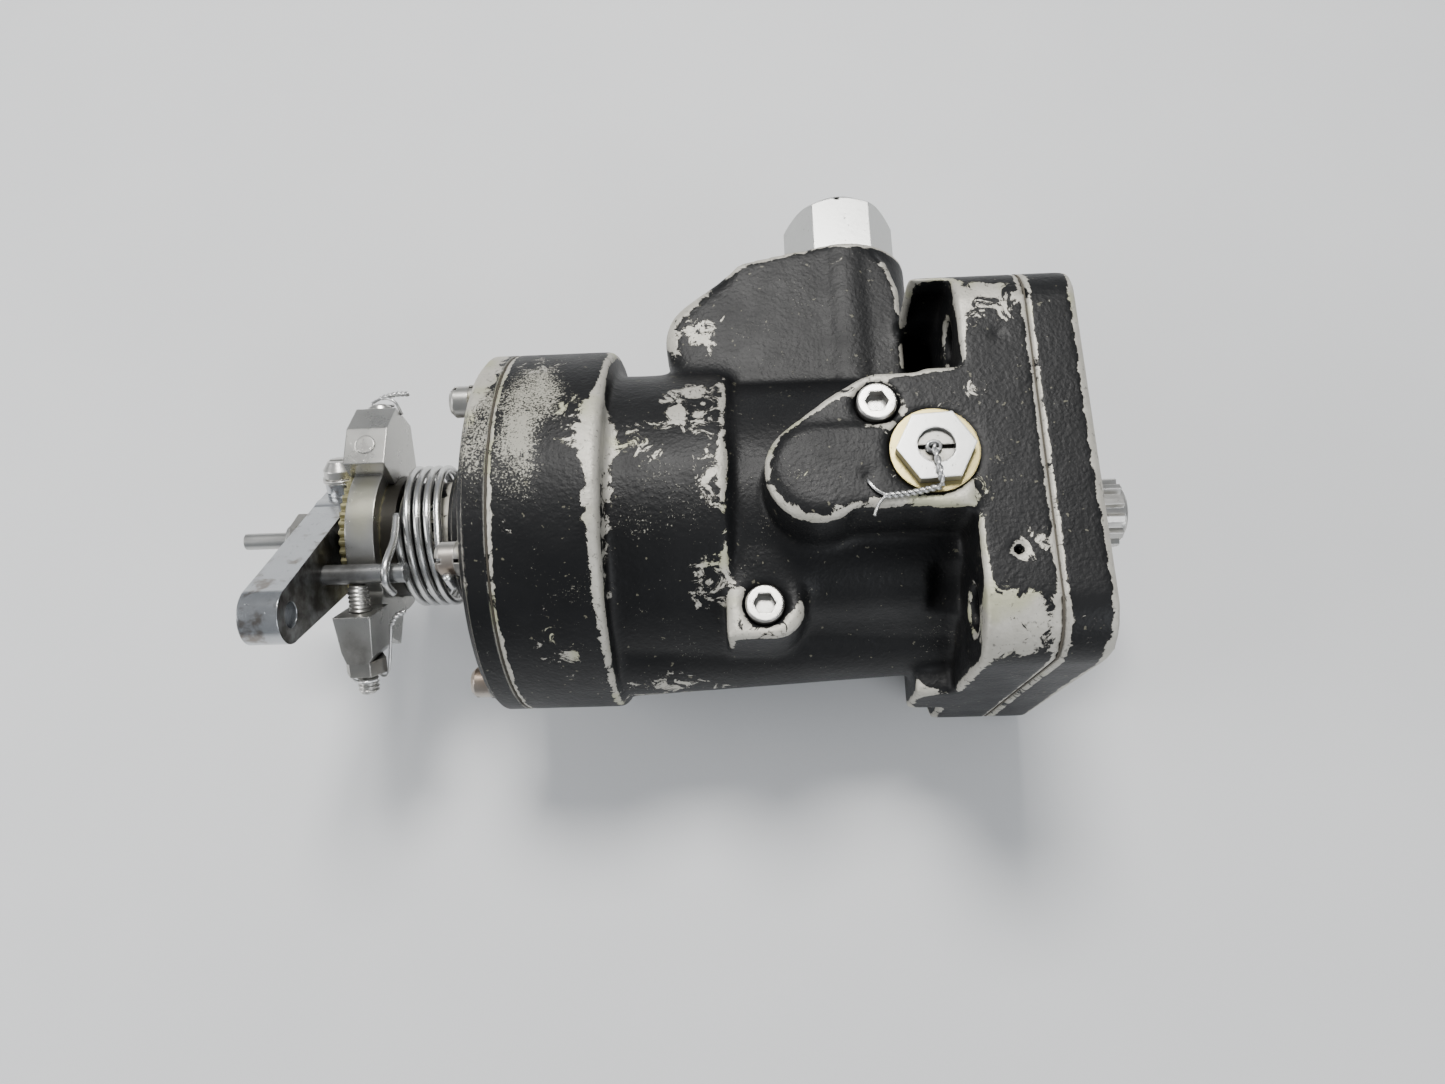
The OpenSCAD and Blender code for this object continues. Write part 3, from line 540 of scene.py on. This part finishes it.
NODE_LOOKS = {
    "cover": black_cover, "cover_gasket": gasket, "base_gasket": gasket,
    "cover_screws": screw_steel, "cover_lock_washers": dull_steel, "base_screws": dull_steel,
    "relief_plug": bright_plug, "relief_plug_washer": chromate, "relief_adjuster": dull_steel,
    "relief_plunger": bright_steel, "relief_spring": spring_wire, "check_ball": bright_steel,
    "check_spring": spring_wire, "side_plug": bright_plug, "side_plug_seal": rubber,
    "passage_screws": bright_steel, "base_bushing": bronze, "body_bushing": bronze,
    "idler_post": turned_steel, "drive_shaft": bright_steel, "drive_gear": dull_steel,
    "idler_gear": dull_steel, "flyweight_carrier": turned_steel, "flyweight_pins": bright_steel,
    "flyweight_1": dull_steel, "flyweight_2": dull_steel, "pilot_valve": bright_steel,
    "thrust_bearing": bright_steel, "lower_spring_seat": turned_steel, "speeder_spring": spring_wire,
    "upper_spring_seat": turned_steel, "seat_guide_pin": bright_steel, "control_shaft": turned_steel,
    "control_bushing": bronze, "control_seal": rubber, "serrated_collar": oiled_brass,
    "stop_arm": stop_steel, "stop_jam_nut": dull_steel, "stop_arm_pin": bright_steel,
    "control_lever": lever_steel, "lever_clamp_screw": bright_steel, "lever_tab_washer": bright_steel,
    "lever_nut": dull_steel, "spring_post": post_steel,
    "lever_spring": spring_wire, "high_stop_screw": bright_steel, "low_stop_screw": bright_steel,
    "casting_flange": black_casting, "casting_webs": black_casting, "casting_barrel": black_casting,
    "base_plate": black_base,
}
for node, look in NODE_LOOKS.items():
    paint_node(node, look)

# ---------- new pieces ----------

casting = ["casting_flange", "casting_webs", "casting_barrel"]
LOBE_END = ((-70, 38, 16), (14, 20, 9), 40)
PASSAGES = ((-40, -17, 20), (24, 14, 16), 18)
body = cast_skin("casting_skin", casting, 0.65, 6, [(0, -9.1), (0, -103.6)], [LOBE_END, PASSAGES])
dress(body, black_casting, "root", casting)
base = cast_skin("base_plate_skin", ["base_plate"], 0.65, 4, [(0, -8.8)])
dress(base, black_base, "root", ["base_plate"])

# Lever spring, in mm: the coil leans, its far side nearer the lever
COIL_START, COIL_LENGTH, COIL_R, COIL_LEAN = -126.6, 8, 13.75, 0.06
COIL_TURNS, COIL_STEPS = 4, 64
SPRING_WIRE_R = 0.78
coil = []
for i in range(COIL_TURNS * COIL_STEPS + 1):
    a = i * 2 * math.pi / COIL_STEPS
    y = -COIL_R * math.sin(a)
    x = COIL_START + COIL_LENGTH * i / (COIL_TURNS * COIL_STEPS) - COIL_LEAN * (y + COIL_R)
    coil.append(Vector((x, y, COIL_R * math.cos(a))))
left_leg = [Vector(p) for p in (
    (-127.3, -15.6, 12.2), (-127.3, -14.9, 16.4), (-127.1, -11.8, 17.6), (-126.8, -6, 15.4))]
right_leg = [Vector(p) for p in (
    (-117.4, -10.5, 15.6), (-113.2, -16.6, 21.5), (-111.3, -18.6, 26), (-111.2, -18.2, 30))]
spring_line = (smooth_path(left_leg + [coil[0]], 8)[:-1] + coil
               + smooth_path([coil[-1]] + right_leg, 8)[1:])
lever_spring = tube("lever_spring_wire", [spring_line], SPRING_WIRE_R, 12)
dress(lever_spring, spring_wire, "root", ["lever_spring"])

# The low stop screw starts at the spring post and slopes down from it, its head at the low end
LEVER_LEAN, POST_REACH, STOP_PLANE = math.radians(41.7), 34.8 * 0.53, -134
POST = Vector((STOP_PLANE, -POST_REACH * math.sin(LEVER_LEAN), POST_REACH * math.cos(LEVER_LEAN) + 0.4))
LOW_STOP_SLOPE = math.radians(30)
low_thread = screw_thread("low_stop_thread", 0, 0, -23.7, -2.05, 2.06, 0.8, 0.36)
slope = Matrix.Rotation(LOW_STOP_SLOPE, 4, "X")
low_thread.data.transform(Matrix.Translation(POST / 1000) @ slope)
dress(low_thread, bright_steel, "root", ["low_stop_screw"])


def along_stop(x, y, z):
    """A place given in mm from the spring post, with -Y running down the low stop screw."""
    return POST + Matrix.Rotation(LOW_STOP_SLOPE, 3, "X") @ Vector((x, y, z))


def smooth_lines(*lines):
    """A smooth line through each list of places."""
    return [smooth_path([Vector(p) for p in line], 12) for line in lines]


LOCK_WIRE_R = 0.29
RELIEF_WIRES = [
    twisted([(-27.6, -2.2, 42.3), (-27.3, -5.0, 42.7), (-27.0, -7.6, 42.5), (-26.8, -8.9, 41.0)],
            0.30, 3.2),
    twisted([(-26.9, -8.9, 40.9), (-31.6, -9.7, 40.5), (-35.9, -10.0, 40.4)], 0.33, 2.0),
    smooth_lines(
        ((-35.7, -10.0, 40.5), (-37.4, -8.9, 40.6), (-38.5, -7.3, 40.3), (-38.5, -6.2, 39.0)),
        ((-35.7, -10.0, 40.4), (-37.0, -11.3, 40.6), (-38.0, -13.6, 41.0))),
    # knot in the middle of the plug
    [[Vector((-27.6 + 1.1 * math.cos(a / 4), -2.1 + 0.8 * math.sin(a / 4),
              41.4 + 0.5 * math.sin(a / 7)))
      for a in range(60)]],
]
STOP_WIRES = [
    twisted([(-134.2, 26.9, 10.2), (-131.4, 27.6, 10.4), (-128.4, 27.5, 10.6)], 0.30, 1.9),
    smooth_lines(
        ((-134.2, 26.9, 10.2), (-136.2, 25.9, 9.8), (-134.6, 25.6, 9.4), (-131.6, 25.5, 9.4)),
        ((-134.2, 26.8, 10.2), (-132.2, 26.2, 11.4), (-130.6, 25.2, 11.2), (-129.6, 23.2, 9.8))),
    # round the low screw, along its block and off in a short tail
    smooth_lines([along_stop(*p) for p in (
        (2.6, -20.6, 1.9), (0, -20.7, 3.1), (-3.1, -20.7, 0), (0, -20.7, -3.1), (3.1, -20.7, -0.6),
        (4.5, -19.2, 0.6), (5.2, -14.6, 0.4), (5.7, -10.0, 0))]),
    twisted([along_stop(5.7, -10.2, 0), along_stop(7.0, -8.4, 0.4), along_stop(8.8, -7.6, 0.2)],
            0.28, 1.9),
]
for name, wires in (("relief_lock_wire", RELIEF_WIRES), ("stop_lock_wire", STOP_WIRES)):
    lines = [line for group in wires for line in group]
    dress(tube(name, lines, LOCK_WIRE_R, 8), lock_wire, "root")
